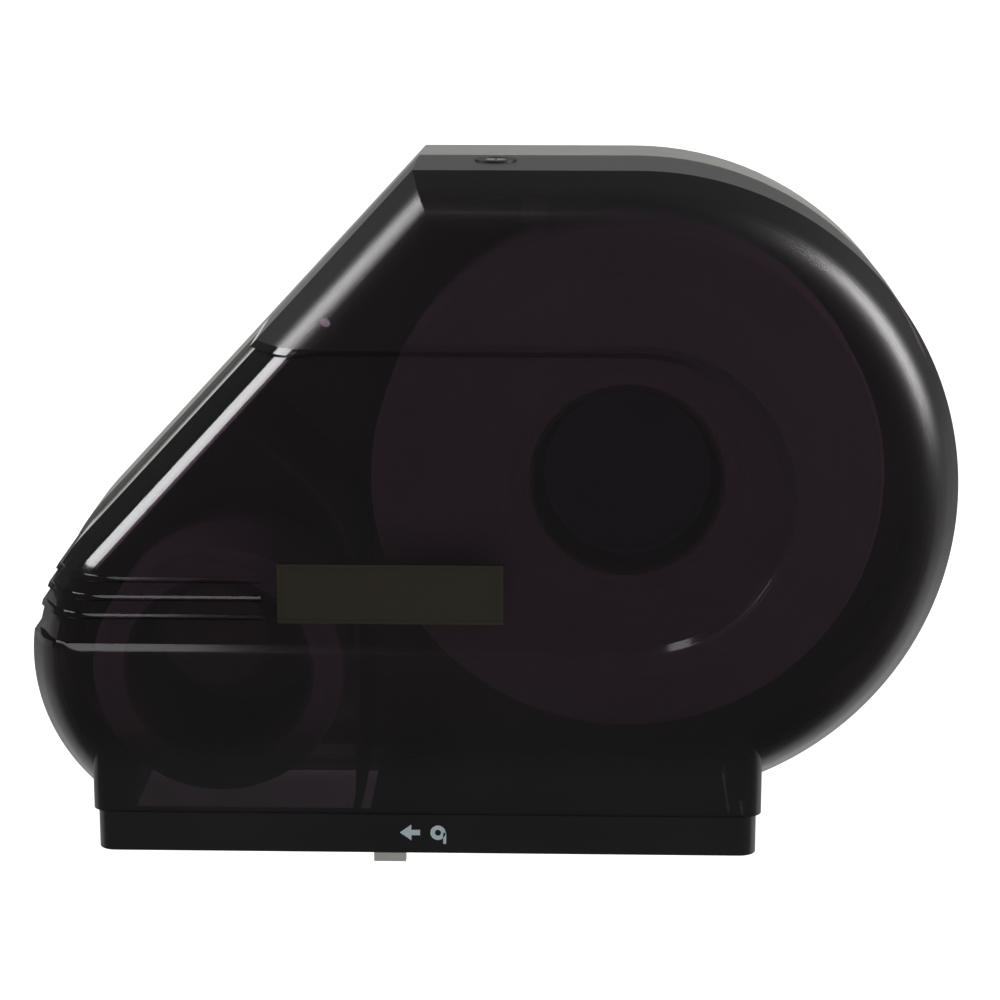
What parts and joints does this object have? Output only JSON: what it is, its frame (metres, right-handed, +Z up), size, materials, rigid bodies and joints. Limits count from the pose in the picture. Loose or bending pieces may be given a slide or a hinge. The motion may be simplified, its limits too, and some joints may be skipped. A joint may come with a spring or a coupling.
{
  "type": "jumbo toilet roll dispenser",
  "caption": "Wall dispenser for a jumbo toilet roll and a stub roll, with a hinged see-through cover, key lock, sliding shutter and serrated tear bars.",
  "frame": {"origin": "on the wall plane, at the middle of the four wall screw holes", "axes": "+X right as seen from the front, +Y into the wall, +Z up; the front of the part faces -Y"},
  "size_m": [0.4275, 0.1381, 0.3253],
  "materials": {
    "grey_plastic": "fine moulded texture",
    "hub_plastic": "moulded satin",
    "smoked_plastic": "smoked see-through, polished window and lightly textured shell",
    "badge_plate": "satin, bare",
    "steel": "brushed",
    "dark_metal": "dark plated",
    "paper": "wound soft tissue",
    "cardboard": "grey-brown card"
  },
  "bodies": {
    "back": {"back_tray": "grey_plastic", "divider_wall": "grey_plastic", "divider_screws": "steel", "main_spindle": "grey_plastic", "stub_spindle": "grey_plastic", "spindle_screws": "steel", "hub_drum": "hub_plastic", "hub_screw": "steel", "base_frame": "grey_plastic", "frame_screws": "steel", "tear_bar_left": "steel", "tear_bar_right": "steel", "tear_bar_rivets": "steel", "hinge_pins": "steel", "lock_strike": "steel", "strike_screws": "steel"},
    "cover": {"cover": "smoked_plastic", "badge_plate": "badge_plate", "lock_housing": "dark_metal", "lock_nut": "steel"},
    "lock": {"lock_plug": "steel", "lock_cam": "steel", "cam_screw": "steel"},
    "shutter": {"shutter": "grey_plastic"},
    "main_roll": {"main_roll_core": "cardboard", "main_roll_paper": "paper"},
    "stub_roll": {"stub_roll_core": "cardboard", "stub_roll_paper": "paper"}
  },
  "joints": [
    {"name": "cover_swing", "type": "hinge", "parent": "back", "child": "cover", "pos_m": [0, -0.036, -0.15], "axis": [1, 0, 0], "range_deg": [0, 95]},
    {"name": "lock_turn", "type": "hinge", "parent": "cover", "child": "lock", "pos_m": [-0.003, -0.072, 0.14], "axis": [0, 0, -1], "range_deg": [0, 90]},
    {"name": "shutter_slide", "type": "slide", "parent": "back", "child": "shutter", "axis": [-1, 0, 0], "range_m": [0, 0.11]},
    {"name": "main_roll_spin", "type": "hinge", "parent": "back", "child": "main_roll", "pos_m": [0.0583, -0.055, 0.0073], "axis": [0, 1, 0], "continuous": true},
    {"name": "stub_roll_spin", "type": "hinge", "parent": "back", "child": "stub_roll", "pos_m": [-0.133, -0.055, -0.0857], "axis": [0, 1, 0], "continuous": true}
  ]
}
